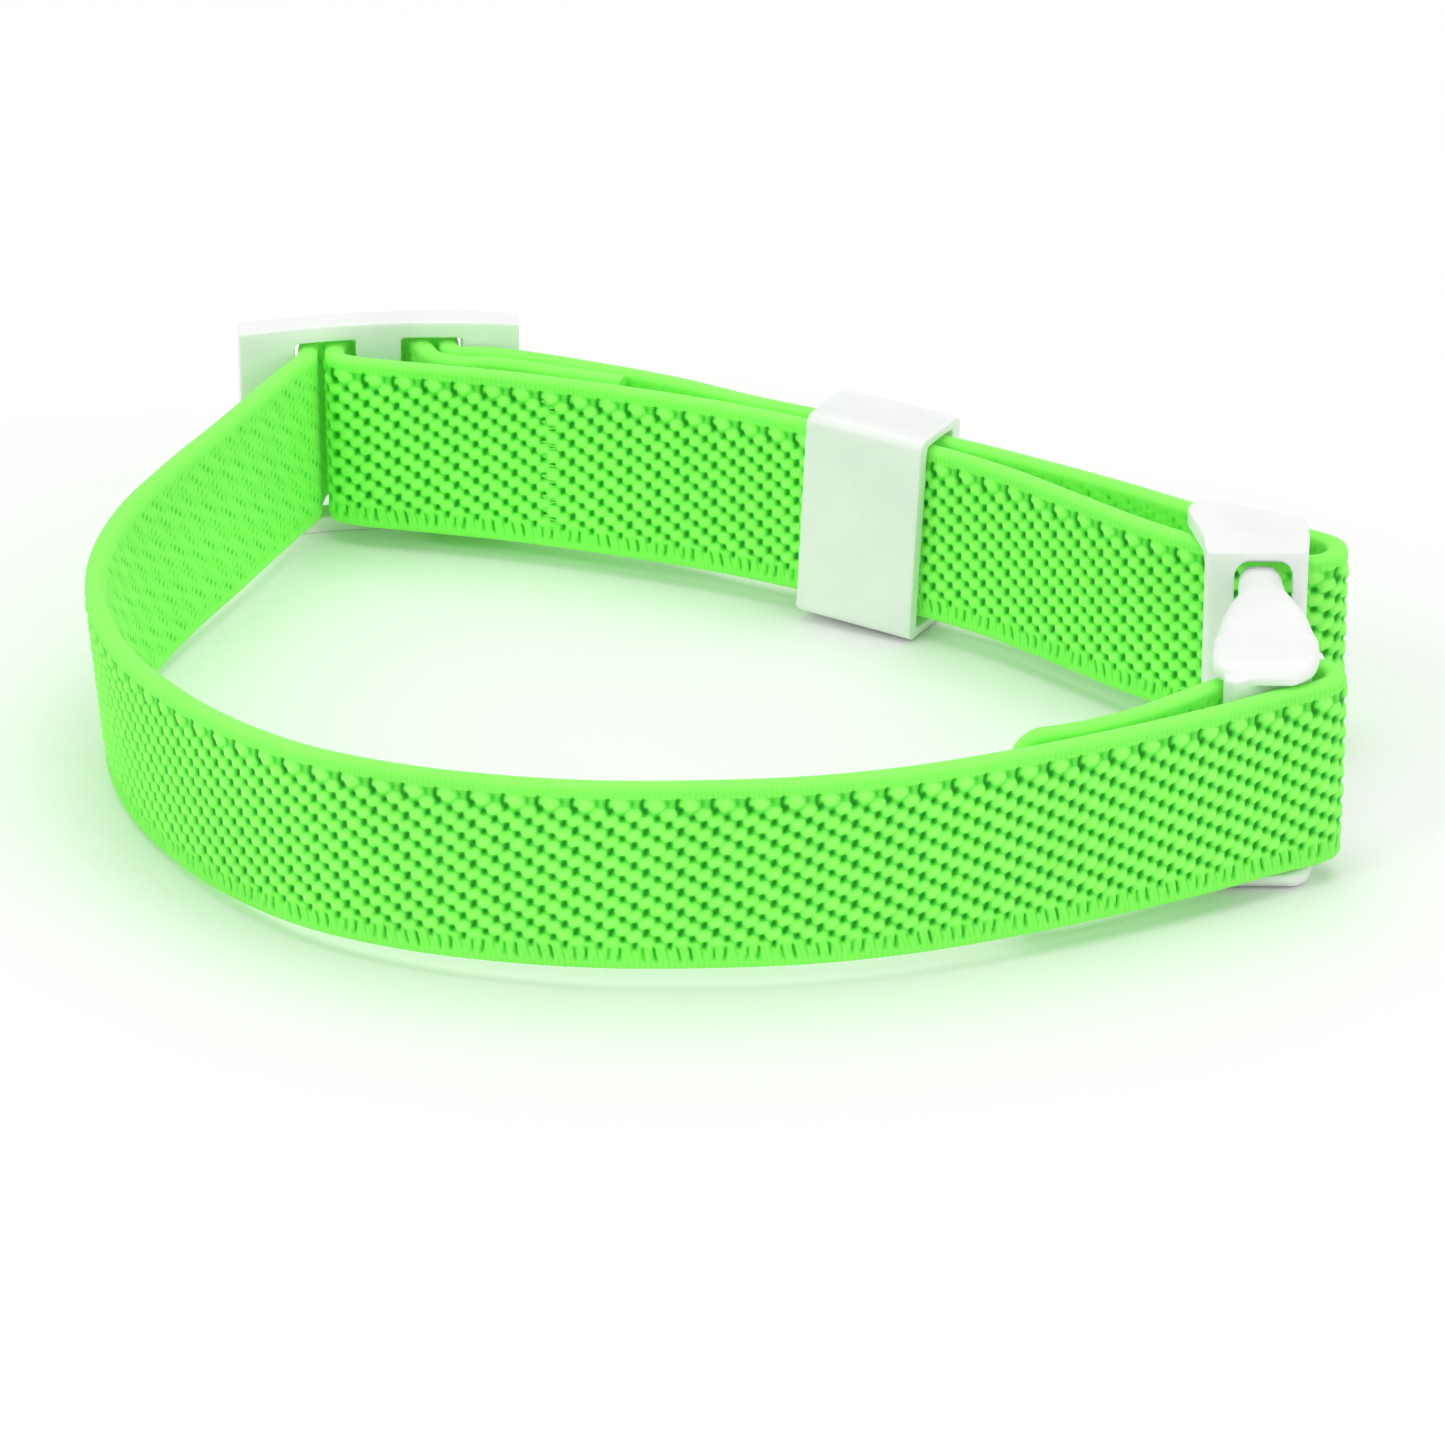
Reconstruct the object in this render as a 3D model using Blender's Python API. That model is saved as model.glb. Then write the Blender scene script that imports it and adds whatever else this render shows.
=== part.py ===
"""A narrow elastic wristband with an adjusting slider, a keeper sleeve and a pinch-release clasp.

The band stands on its edge. Lengths below are in millimetres, in plan (x, y) with z up, and one
function turns them into Blender's metres. The webbing is a single strip. It starts as a tail behind
the plug's strap bar and runs along the front, round the left bend and through the slider. Then it
goes round the catch's strap bar and back to the slider's middle bar, where it ends in a sewn fold.
"""

import math

import bmesh
import bpy
from mathutils import Vector

MM = 0.001
LOOP_CENTRE = Vector((-0.283, 29.746))  # plan point that becomes the part's origin

# Elastic webbing
WEB_WIDTH = 10.0
WEB_THICK = 1.1
WEB_CHAMFER = 0.28
WEB_LIFT = 1.2  # lower edge above the table where the moulded pieces hold it
WEB_SIDE_GAP = 0.25
FOLD_LOOSE = 0.35  # the webbing stands this far off the ends of the strap bars
SEAM = 0.3  # left between two nodes of the same strip
CURVE_STEPS = 3
HEADING_REACH = 0.25  # the strip's direction is taken over this far on both sides
SHORTEST_STEP = 0.2  # between a node's end and its next ring

# The left bend sags to the table and flares outwards at its top
SAG_CENTRE = Vector((-31.0, 22.0))
SAG_REACH = 15.0
SAG_DEPTH = 1.15
SAG_FLARE = 0.085

# Slider: two slots, three bars, curved to the wrist
SLIDER_CENTRE = Vector((-19.0, 56.7))
SLIDER_TURN = math.radians(6)
SLIDER_LENGTH = 15.4
SLIDER_BAR = 3.1
SLIDER_MIDDLE_BAR = 2.5
SLIDER_THICK = 1.8
SLIDER_RADIUS = 31.0
SLIDER_FOLD_ROOM = 0.5  # the fold's centreline stands this far off the middle bar
RAIL_PIECES = 14
HARDWARE_HEIGHT = 12.3
RAIL = 0.95
CUT_OVER = 5.0  # cutting shapes stand out this far beyond the piece
JOIN_OVER = 0.5  # joined shapes reach this far into each other

# Keeper sleeve round both back layers
KEEPER_CENTRE = Vector((8.35, 43.62))
KEEPER_TURN = math.radians(-28.5)
KEEPER_LENGTH = 6.9
KEEPER_DEPTH = 4.7
KEEPER_HEIGHT = 11.7
KEEPER_WALL = 0.85
KEEPER_EDGE_WALL = 0.5
KEEPER_CORNER = 0.7
KEEPER_TILT = math.radians(3)

# Clasp, on a line parallel to y
PLUG_SIDES = (25.0, 30.3)
PLUG_NEAR_Y = 10.2
PLUG_BLOCK_Y = 14.6
PLUG_FAR_Y = 17.9
PLUG_BAR_TURN = math.radians(32)
PLUG_BAR_CENTRE = Vector((27.05, 11.42))
PLUG_BAR_LENGTH = 5.2
PLUG_BAR_THICK = 1.1
ARM_GAP = 0.3
ARM_TIP_Y = 25.9
ARM_DEEP = 2.6
ARM_TIP_TOP = 11.3
ARM_STATIONS = 9
PLUG_BELL = (  # (plan y, left x, right x) of the plug and its arms seen from above
    (10.2, 24.7, 28.9), (11.2, 24.3, 29.45), (12.5, 24.3, 29.7), (15.0, 24.55, 29.75),
    (17.6, 25.05, 29.5), (19.5, 25.6, 29.1), (21.6, 26.2, 28.75), (25.9, 26.5, 28.6),
)
PLUG_BLOCK_CORNER = 0.6
TONGUE_HALF = 1.1
TONGUE_CORNER = 0.4
TONGUE_TIP_Y = 25.7
ARM_CORNER = 0.5
ARM_TIP_SHRINK = 0.25
CATCH_SIDES = (24.7, 30.0)
CATCH_MOUTH_Y = 24.5
CATCH_PLATE = 0.85
CATCH_FAR_Y = 31.4
CATCH_SHOULDER = 0.8  # the rails are this much wider to the left at the strap bar
CATCH_NECK = 2.4  # from the mouth to where the rails widen
CATCH_NEAR_ROUND = 1.1
CATCH_FAR_ROUND = 1.2
CATCH_BULGE = 0.2
MOUTH_X = 27.7
MOUTH_WIDTH = 3.0
MOUTH_EDGE = 0.45
MOUTH_CORNER = 0.9
CATCH_BAR_TURN = math.radians(-24)
CATCH_BAR_END = Vector((29.9, 28.15))
CATCH_BAR_LENGTH = 5.0
CATCH_BAR_THICK = 1.4

# Rounded edges
BEVEL_ANGLE = 60
SLIDER_BEVEL = 0.22
KEEPER_BEVEL = 0.15
CATCH_BEVEL = 0.16
PLUG_BEVEL = 0.3

# Sewing thread
SLIDER_TACK_PLACE = Vector((-9.1, 50.83))
SLIDER_TACK_TURN = math.radians(-26)
PLUG_TACK_PLACE = Vector((19.3, 7.25))
PLUG_TACK_TURN = math.radians(36)
TACK_WIDTH = 1.1
TACK_HEIGHT = 8.0
TACK_THICK = 0.16
TACK_STAND_OFF = 0.12


def clear_scene():
    for old in list(bpy.data.objects):
        bpy.data.objects.remove(old, do_unlink=True)


def material(name, colour, roughness, metallic=0.0):
    made = bpy.data.materials.new(name)
    made.use_nodes = True
    shader = made.node_tree.nodes["Principled BSDF"]
    shader.inputs["Base Color"].default_value = (*colour, 1.0)
    shader.inputs["Roughness"].default_value = roughness
    shader.inputs["Metallic"].default_value = metallic
    return made


def solid(name, points, faces, finish):
    """A mesh object from points in millimetres, set down about the loop's centre."""
    shift = Vector((LOOP_CENTRE.x, LOOP_CENTRE.y, 0))
    mesh = bpy.data.meshes.new(name)
    mesh.from_pydata([(Vector(p) - shift) * MM for p in points], [], faces)
    mesh.materials.append(finish)
    shape = bmesh.new()
    shape.from_mesh(mesh)
    bmesh.ops.recalc_face_normals(shape, faces=shape.faces)
    shape.to_mesh(mesh)
    shape.free()
    mesh.shade_smooth()
    mesh.set_sharp_from_angle(angle=math.radians(35))
    made = bpy.data.objects.new(name, mesh)
    bpy.context.scene.collection.objects.link(made)
    return made


def loft(name, rings, finish):
    """Rings with equal counts of points, joined in order and capped at both ends."""
    count = len(rings[0])
    points = [p for ring in rings for p in ring]
    faces = []
    for i in range(len(rings) - 1):
        for j in range(count):
            k = (j + 1) % count
            faces.append((i * count + j, i * count + k, (i + 1) * count + k, (i + 1) * count + j))
    last = (len(rings) - 1) * count
    faces.append(tuple(range(count)))
    faces.append(tuple(range(last, last + count)))
    return solid(name, points, faces, finish)


def prism(name, outline, low, high, finish):
    return loft(name, [[(x, y, z) for x, y in outline] for z in (low, high)], finish)


def boolean(target, tool, operation):
    tool.hide_render = True
    tool.display_type = "WIRE"
    step = target.modifiers.new(tool.name, "BOOLEAN")
    step.operation = operation
    step.solver = "EXACT"
    step.object = tool


def soften(target, width, segments=2):
    step = target.modifiers.new("edges", "BEVEL")
    step.width = width * MM
    step.segments = segments
    step.limit_method = "ANGLE"
    step.angle_limit = math.radians(BEVEL_ANGLE)


def turned(x, y, angle, centre):
    """The plan point at (x, y) in a frame turned by angle and set at centre."""
    return (
        centre.x + x * math.cos(angle) - y * math.sin(angle),
        centre.y + x * math.sin(angle) + y * math.cos(angle),
    )


def arc(centre, radius, start, end, steps):
    """Plan points along an arc, angles in degrees."""
    points = []
    for i in range(steps + 1):
        angle = math.radians(start + (end - start) * i / steps)
        points.append((centre[0] + radius * math.cos(angle), centre[1] + radius * math.sin(angle)))
    return points


def rectangle(x0, x1, y0, y1, corner=0.0, steps=3):
    if not corner:
        return [(x0, y0), (x1, y0), (x1, y1), (x0, y1)]
    return (
        arc((x0 + corner, y0 + corner), corner, 180, 270, steps)
        + arc((x1 - corner, y0 + corner), corner, 270, 360, steps)
        + arc((x1 - corner, y1 - corner), corner, 0, 90, steps)
        + arc((x0 + corner, y1 - corner), corner, 90, 180, steps)
    )


def capsule(length, thick, angle, centre, steps=6):
    """A bar's outline: a slab with round ends."""
    reach = (length - thick) / 2
    ends = arc((reach, 0), thick / 2, -90, 90, steps) + arc((-reach, 0), thick / 2, 90, 270, steps)
    return [turned(x, y, angle, centre) for x, y in ends]


def at_slider(along, out):
    """Plan point at the slider: along its length, and outwards from its curved mid-surface."""
    return turned(along, out - along * along / (2 * SLIDER_RADIUS), SLIDER_TURN, SLIDER_CENTRE)


def webbing_route():
    """The strip's centreline as (node name, hand-chosen plan points) in order from end to end."""
    layer = WEB_THICK + WEB_SIDE_GAP
    clear = WEB_THICK / 2 + WEB_SIDE_GAP
    plug_turn = PLUG_BAR_THICK / 2 + clear
    plug_side = math.degrees(PLUG_BAR_TURN)
    plug_reach = (PLUG_BAR_LENGTH - PLUG_BAR_THICK) / 2
    plug_end = turned(plug_reach, 0, PLUG_BAR_TURN, PLUG_BAR_CENTRE)
    catch_turn = CATCH_BAR_THICK / 2 + clear
    first = SLIDER_THICK / 2 + clear  # a layer lying on a bar of the slider
    second = first + layer
    slot = (SLIDER_LENGTH / 2 - SLIDER_BAR + SLIDER_MIDDLE_BAR / 2) / 2
    outer_bar = (SLIDER_LENGTH - SLIDER_BAR) / 2
    wrap = SLIDER_MIDDLE_BAR / 2 + clear
    turn = SLIDER_THICK / 2 + SLIDER_FOLD_ROOM  # where the fold rounds the bar's far corners
    return [
        ("webbing_plug_fold", [
            (13.5, 5.3), (16.5, 5.95), (19.3, 7.25), (21.9, 9.1), (24.2, 11.05),
            *arc((plug_end[0] + FOLD_LOOSE, plug_end[1]), plug_turn, plug_side + 90, plug_side - 90, 7),
        ]),
        ("webbing_front_run", [
            (27.7, 10.15), (24.3, 8.1), (18.8, 5.2), (13.8, 2.95), (8.6, 1.1), (3.8, 0.1),
            (-1.1, -0.25), (-6.0, -0.15), (-11.0, 0.7), (-15.8, 2.25), (-20.3, 4.75), (-24.5, 8.8),
        ]),
        ("webbing_left_bend", [
            (-27.75, 13.6), (-30.15, 18.6), (-31.55, 23.7), (-31.95, 28.9), (-31.1, 34.5),
        ]),
        ("webbing_left_lead", [
            (-29.0, 40.2), (-26.75, 45.2), (-24.75, 49.9),
        ]),
        ("webbing_slider_lacing", [
            (-23.55, 52.75), (-22.8, 54.5), at_slider(-slot - 0.8, 0.3),
            at_slider(-3.2, 1.85), at_slider(-1.75, second - 0.2), at_slider(0, second),
            at_slider(1.75, second - 0.2), at_slider(3.2, 1.85), at_slider(slot + 0.9, 0.3),
            at_slider(slot + 1.05, -1.4),
        ]),
        ("webbing_outer_slack", [
            at_slider(outer_bar, -first), (-6.7, 52.75), (-2.6, 50.75),
        ]),
        ("webbing_outer_layer", [
            (1.25, 48.3), (6.4, 45.5), (11.5, 42.7), (17.2, 38.95), (21.4, 35.9),
        ]),
        ("webbing_catch_fold", [
            (24.3, 33.6), (27.6, 31.2),
            *arc((CATCH_BAR_END.x + FOLD_LOOSE, CATCH_BAR_END.y), catch_turn, 54, -100, 7),
            (27.2, 27.55),
        ]),
        ("webbing_inner_layer", [
            (24.3, 29.3), (21.5, 31.6), (18.4, 34.75), (14.8, 38.35), (10.8, 41.47), (5.65, 44.26),
        ]),
        ("webbing_inner_slack", [
            (0.5, 47.05), (-6.0, 49.75),
        ]),
        ("webbing_slider_fold", [
            (-12.2, 51.85), at_slider(4.1, -4.45), at_slider(2.2, -3.95), at_slider(0.4, -3.4),
            at_slider(-1.2, -2.75), at_slider(-wrap - 0.25, -1.9), at_slider(-wrap - 0.35, -0.9),
            at_slider(-wrap, 0.4), at_slider(-wrap + 0.35, turn), at_slider(0, first + 0.05),
            at_slider(wrap - 0.25, turn),
            at_slider(wrap + 0.1, 0.2), at_slider(wrap + 0.4, -0.95), at_slider(2.9, -2.3),
            at_slider(4.0, -2.95), at_slider(outer_bar, -second), (-9.2, 52.5), (-5.4, 50.95),
        ]),
        ("", []),
    ]


def smooth(points, steps):
    """A smooth curve through points with uneven spacing."""
    points = [Vector(p) for p in points]
    chords = [(b - a).length for a, b in zip(points, points[1:])]
    slopes = [(b - a) / h for a, b, h in zip(points, points[1:], chords)]
    tangents = [slopes[0]]
    for i in range(1, len(points) - 1):
        before, after = chords[i - 1], chords[i]
        tangents.append((slopes[i - 1] * after + slopes[i] * before) / (before + after))
    tangents.append(slopes[-1])
    curve = []
    for i, h in enumerate(chords):
        for j in range(steps):
            t = j / steps
            curve.append(
                points[i] * (2 * t**3 - 3 * t**2 + 1) + tangents[i] * h * (t**3 - 2 * t**2 + t)
                + points[i + 1] * (3 * t**2 - 2 * t**3) + tangents[i + 1] * h * (t**3 - t**2)
            )
    curve.append(points[-1])
    return curve


def sag(point):
    return math.exp(-((point - SAG_CENTRE).length_squared) / (2 * SAG_REACH**2))


def web_ring(point, across):
    """The webbing's cross-section: upright, chamfered, with its sag and flare at this place."""
    half, edge, weight = WEB_THICK / 2, WEB_CHAMFER, sag(point)
    low = WEB_LIFT - SAG_DEPTH * weight
    profile = (
        (-half + edge, 0), (half - edge, 0), (half, edge), (half, WEB_WIDTH - edge),
        (half - edge, WEB_WIDTH), (-half + edge, WEB_WIDTH), (-half, WEB_WIDTH - edge), (-half, edge),
    )
    ring = []
    for out, up in profile:
        shift = out + SAG_FLARE * weight * (up - WEB_WIDTH / 2)
        ring.append((point.x + across.x * shift, point.y + across.y * shift, low + up))
    return ring


def make_webbing(finish):
    """One node for each named stretch of the strip, with a thin seam between neighbours."""
    sections = webbing_route()
    points = [p for _, listed in sections for p in listed]
    curve = smooth(points, CURVE_STEPS)
    run = [0.0]
    for a, b in zip(curve, curve[1:]):
        run.append(run[-1] + (b - a).length)

    def place(distance):
        i = max(1, next(k for k, d in enumerate(run) if d >= distance - 1e-9))
        return curve[i - 1].lerp(curve[i], (distance - run[i - 1]) / (run[i] - run[i - 1]))

    def heading(distance):
        ends = (max(distance - HEADING_REACH, 0), min(distance + HEADING_REACH, run[-1]))
        return (place(ends[1]) - place(ends[0])).normalized()

    start = 0
    for (name, listed), (after, _) in zip(sections, sections[1:]):
        first = run[start * CURVE_STEPS] + (SEAM / 2 if start else 0)
        start += len(listed)
        last = run[start * CURVE_STEPS] - SEAM / 2 if after else run[-1]
        inside = [d for d in run if first + SHORTEST_STEP < d < last - SHORTEST_STEP]
        rings = []
        for distance in (first, *inside, last):
            along = heading(distance)
            rings.append(web_ring(place(distance), Vector((-along.y, along.x))))
        loft(name, rings, finish)


def make_slider(finish):
    """A curved plate with two slots, built from two rails and three bars."""
    half, thick = SLIDER_LENGTH / 2, SLIDER_THICK / 2

    def curved(name, start, end, low, high, count):
        rings = []
        for i in range(count + 1):
            along = start + (end - start) * i / count
            corners = ((-thick, low), (thick, low), (thick, high), (-thick, high))
            rings.append([(*at_slider(along, out), z) for out, z in corners])
        return loft(name, rings, finish)

    body = curved("slider", -half, half, 0, RAIL, RAIL_PIECES)
    top = curved("slider_top_rail", -half, half, HARDWARE_HEIGHT - RAIL, HARDWARE_HEIGHT, RAIL_PIECES)
    middle = SLIDER_MIDDLE_BAR / 2
    spans = ((-half, -half + SLIDER_BAR), (-middle, middle), (half - SLIDER_BAR, half))
    for i, (start, end) in enumerate(spans):
        bar = curved(f"slider_bar_{i}", start, end, RAIL / 3, HARDWARE_HEIGHT - RAIL / 3, 2)
        boolean(body, bar, "UNION")
    boolean(body, top, "UNION")
    soften(body, SLIDER_BEVEL)


def make_keeper(finish):
    """A rectangular sleeve, tilted a little as it sits on the band."""
    half_depth, half_length = KEEPER_DEPTH / 2, KEEPER_LENGTH / 2

    def block(name, reach, depth, height, corner):
        rings = []
        for along in (-reach, reach):
            ring = []
            for across, up in rectangle(-depth, depth, -height / 2, height / 2, corner):
                tilted = along * math.cos(KEEPER_TILT) + up * math.sin(KEEPER_TILT)
                raised = up * math.cos(KEEPER_TILT) - along * math.sin(KEEPER_TILT)
                x, y = turned(tilted, across, KEEPER_TURN, KEEPER_CENTRE)
                ring.append((x, y, WEB_LIFT + WEB_WIDTH / 2 + raised))
            rings.append(ring)
        return loft(name, rings, finish)

    sleeve = block("keeper", half_length, half_depth, KEEPER_HEIGHT, KEEPER_CORNER)
    opening = KEEPER_HEIGHT - 2 * KEEPER_EDGE_WALL
    inside = block("keeper_inside", half_length + CUT_OVER, half_depth - KEEPER_WALL, opening, 0)
    boolean(sleeve, inside, "DIFFERENCE")
    soften(sleeve, KEEPER_BEVEL, 1)


def make_catch(finish):
    """The receiving half: a mouth plate, an upper and a lower rail, and the bar for the webbing."""
    left, right = CATCH_SIDES
    far_left, bulge = left - CATCH_SHOULDER, right + CATCH_BULGE
    outline = [
        (left, CATCH_MOUTH_Y), (right, CATCH_MOUTH_Y), (bulge, CATCH_MOUTH_Y + CATCH_NECK),
        *arc((bulge - CATCH_NEAR_ROUND, CATCH_BAR_END.y + CATCH_BULGE), CATCH_NEAR_ROUND, 0, 60, 3),
        *arc((far_left + CATCH_FAR_ROUND, CATCH_FAR_Y - CATCH_FAR_ROUND), CATCH_FAR_ROUND, 80, 180, 5),
        (left, CATCH_MOUTH_Y + CATCH_NECK),
    ]
    catch = prism("catch", outline, 0, HARDWARE_HEIGHT, finish)
    behind = CATCH_MOUTH_Y + CATCH_PLATE
    room = rectangle(left - CUT_OVER, right + CUT_OVER, behind, CATCH_FAR_Y + CUT_OVER)
    boolean(catch, prism("catch_room", room, RAIL, HARDWARE_HEIGHT - RAIL, finish), "DIFFERENCE")
    half, top = MOUTH_WIDTH / 2, HARDWARE_HEIGHT - MOUTH_EDGE
    mouth = rectangle(MOUTH_X - half, MOUTH_X + half, MOUTH_EDGE, top, MOUTH_CORNER)
    rings = [[(x, y, z) for x, z in mouth] for y in (CATCH_MOUTH_Y - CUT_OVER, behind + 0.05)]
    boolean(catch, loft("catch_mouth", rings, finish), "DIFFERENCE")
    reach = (CATCH_BAR_LENGTH - CATCH_BAR_THICK) / 2
    centre = Vector(turned(-reach, 0, CATCH_BAR_TURN, CATCH_BAR_END))
    bar = capsule(CATCH_BAR_LENGTH, CATCH_BAR_THICK, CATCH_BAR_TURN, centre)
    boolean(catch, prism("catch_bar", bar, RAIL / 2, HARDWARE_HEIGHT - RAIL / 2, finish), "UNION")
    soften(catch, CATCH_BEVEL)


def make_plug(finish):
    """The entering half: strap bar, rails, a solid block and a guiding tongue."""
    left, right = PLUG_SIDES
    near = [row[0] for row in PLUG_BELL if row[0] < PLUG_FAR_Y] + [PLUG_FAR_Y]
    outline = [(bell_sides(y)[0], y) for y in reversed(near)] + [(bell_sides(y)[1], y) for y in near]
    plug = prism("plug", outline, 0, HARDWARE_HEIGHT, finish)
    window = rectangle(left - CUT_OVER, right + CUT_OVER, PLUG_NEAR_Y - CUT_OVER, PLUG_BLOCK_Y)
    boolean(plug, prism("plug_window", window, RAIL, HARDWARE_HEIGHT - RAIL, finish), "DIFFERENCE")
    block = rectangle(left, right, PLUG_BLOCK_Y, PLUG_FAR_Y, PLUG_BLOCK_CORNER)
    boolean(plug, prism("plug_block", block, ARM_DEEP, HARDWARE_HEIGHT - ARM_DEEP, finish), "UNION")
    bar = capsule(PLUG_BAR_LENGTH, PLUG_BAR_THICK, PLUG_BAR_TURN, PLUG_BAR_CENTRE)
    boolean(plug, prism("plug_bar", bar, RAIL / 2, HARDWARE_HEIGHT - RAIL / 2, finish), "UNION")
    sides = (MOUTH_X - TONGUE_HALF, MOUTH_X + TONGUE_HALF)
    middle = HARDWARE_HEIGHT / 2
    section = rectangle(*sides, middle - TONGUE_HALF, middle + TONGUE_HALF, TONGUE_CORNER)
    rings = [[(x, y, z) for x, z in section] for y in (PLUG_FAR_Y - JOIN_OVER, TONGUE_TIP_Y)]
    boolean(plug, loft("plug_tongue", rings, finish), "UNION")
    soften(plug, PLUG_BEVEL)


def bell_sides(y):
    """Left and right side of the plug and its arms at a plan y."""
    for (y0, *near), (y1, *far) in zip(PLUG_BELL, PLUG_BELL[1:]):
        if y <= y1:
            share = (y - y0) / (y1 - y0)
            return [a + (b - a) * share for a, b in zip(near, far)]
    return list(PLUG_BELL[-1][1:])


def make_arm(name, upper, finish):
    """A release arm: a puffed pad that narrows to the tip which enters the catch's mouth."""
    start = PLUG_FAR_Y + ARM_GAP
    rings = []
    for i in range(ARM_STATIONS):
        along = i / (ARM_STATIONS - 1)
        y = start + (ARM_TIP_Y - start) * along
        left, right = bell_sides(y)
        top = HARDWARE_HEIGHT + (ARM_TIP_TOP - HARDWARE_HEIGHT) * along
        low = HARDWARE_HEIGHT - ARM_DEEP
        shrink = ARM_TIP_SHRINK if i == ARM_STATIONS - 1 else 0
        corner = ARM_CORNER - shrink
        ring = rectangle(left + shrink, right - shrink, low + shrink, top - shrink, corner)
        rings.append([(x, y, z if upper else HARDWARE_HEIGHT - z) for x, z in ring])
    loft(name, rings, finish)


def make_tack(name, place, turn, finish):
    """A dense bar of sewing thread lying on the webbing's face."""
    half = TACK_WIDTH / 2
    low = WEB_LIFT + (WEB_WIDTH - TACK_HEIGHT) / 2
    outline = [turned(x, y, turn, place) for x, y in rectangle(-half, half, 0, TACK_THICK)]
    prism(name, outline, low, low + TACK_HEIGHT, finish)


def make_tacks(finish):
    """Thread over the slider's fold and over the plug's fold, each on the side towards the wrist."""
    inward = WEB_THICK / 2 + TACK_STAND_OFF
    fold = Vector(turned(0, -inward - TACK_THICK, SLIDER_TACK_TURN, SLIDER_TACK_PLACE))
    make_tack("slider_fold_tack", fold, SLIDER_TACK_TURN, finish)
    tail = Vector(turned(0, inward, PLUG_TACK_TURN, PLUG_TACK_PLACE))
    make_tack("plug_fold_tack", tail, PLUG_TACK_TURN, finish)


def main():
    clear_scene()
    green = material("elastic_webbing", (0.10, 0.85, 0.05), 0.85)
    white = material("moulded_white", (0.86, 0.88, 0.86), 0.35)
    thread = material("sewing_thread", (0.16, 0.88, 0.08), 0.7)
    make_webbing(green)
    make_slider(white)
    make_keeper(white)
    make_catch(white)
    make_plug(white)
    make_arm("plug_upper_arm", True, white)
    make_arm("plug_lower_arm", False, white)
    make_tacks(thread)


main()
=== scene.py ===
"""Looks for the elastic wristband: woven webbing, moulded slider, keeper and clasp, and the studio.

Shapes are laid out in plan millimetres with z up, as the CAD model's own design is, and set down in
metres about the loop's centre. The strip's route repeats the CAD model's points.
"""

import math

import bmesh
import bpy
import numpy as np
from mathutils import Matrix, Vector


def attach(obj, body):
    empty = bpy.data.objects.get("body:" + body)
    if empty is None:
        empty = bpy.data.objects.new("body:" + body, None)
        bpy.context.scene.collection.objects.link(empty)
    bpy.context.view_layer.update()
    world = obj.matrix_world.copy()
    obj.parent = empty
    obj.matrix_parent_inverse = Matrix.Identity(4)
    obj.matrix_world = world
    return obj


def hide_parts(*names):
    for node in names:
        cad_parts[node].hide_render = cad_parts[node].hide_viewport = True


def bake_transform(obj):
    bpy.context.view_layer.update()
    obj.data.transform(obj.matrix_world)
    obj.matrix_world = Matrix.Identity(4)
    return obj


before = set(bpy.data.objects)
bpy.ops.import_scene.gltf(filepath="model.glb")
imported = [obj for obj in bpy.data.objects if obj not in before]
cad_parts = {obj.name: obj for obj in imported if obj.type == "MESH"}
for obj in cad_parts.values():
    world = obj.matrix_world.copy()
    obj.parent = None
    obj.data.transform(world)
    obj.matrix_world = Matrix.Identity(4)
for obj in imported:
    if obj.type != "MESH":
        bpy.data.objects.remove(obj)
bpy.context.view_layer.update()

MM = 0.001
LOOP_CENTRE = (-0.283, 29.746)  # plan point at the part's origin

# Camera, as the product was photographed
CAMERA_SENSOR = 36
CAMERA_LENS = 186.85
CAMERA_DROP = math.radians(25)
CAMERA_DISTANCE = 367.3
CAMERA_AIM = (0.0, 6.36, 11.2)

# Webbing
WEB_WIDTH = 10.0
WEB_THICK = 1.1
WEB_LIFT = 1.2
SIDE_GAP = 0.25
SAG_CENTRE = (-31.0, 22.0)
SAG_REACH = 15.0
SAG_DEPTH = 1.15
SAG_FLARE = 0.085
FOLD_LOOSE = 0.35
TAIL_TRIM = 0.7  # the heat-cut tail is this much shorter than its CAD node
TAIL_CORNER = 1.7
FOLD_ROOM = 0.5  # the slider fold's centreline stands this far off the middle bar
CURVE_STEPS = 24
HEADING_REACH = 0.12  # the strip's direction is taken over this far on both sides
RING_STEP = 0.095
FACE_ROWS = 90
BACK_ROWS = 60
EDGE_ROWS = 4
EDGE_ROUND = 0.34
WEB_CORE = WEB_THICK / 2 - 0.16  # from the centreline to the bottom of the holes
EDGE_HALF = WEB_CORE + 0.20
FACE_DEPTH = 0.23
BACK_DEPTH = 0.14
BACK_SHIFT = 0.02

# Weave, on the face that turns outwards along the front
FLOAT = 0.56  # one yarn float along the strip
WALE = 3 * FLOAT  # the pattern repeats every third float
RIDGE = 1.09  # height between neighbouring diagonal ridges
FLOAT_HALF = (0.50, 0.41)
FLOAT_TURN = math.radians(-17)
HOLE_Z = 8.26  # the uppermost row of holes
HOLE_HALF = 0.15
HOLE_TURN = math.radians(22)
VALLEY = 0.42  # relief between the floats
TOP_ROW = 8.75
BOTTOM_ROW = 1.35
BEAD_PHASE = 0.13
BEAD_Z = 8.97
BEAD_HALF = (0.56, 0.42)
LOOP_SLITS = ((0.2, 0.8), (0.53, 0.62), (0.86, 0.25))  # (share of a wale, depth)
BACK_PITCH = (0.42, 0.56)
BACK_RISE = 0.21  # each column of the inner face starts this much higher
BACK_HOLE_HALF = (0.13, 0.22)
BACK_HOLE_TURN = math.radians(-24)

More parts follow.
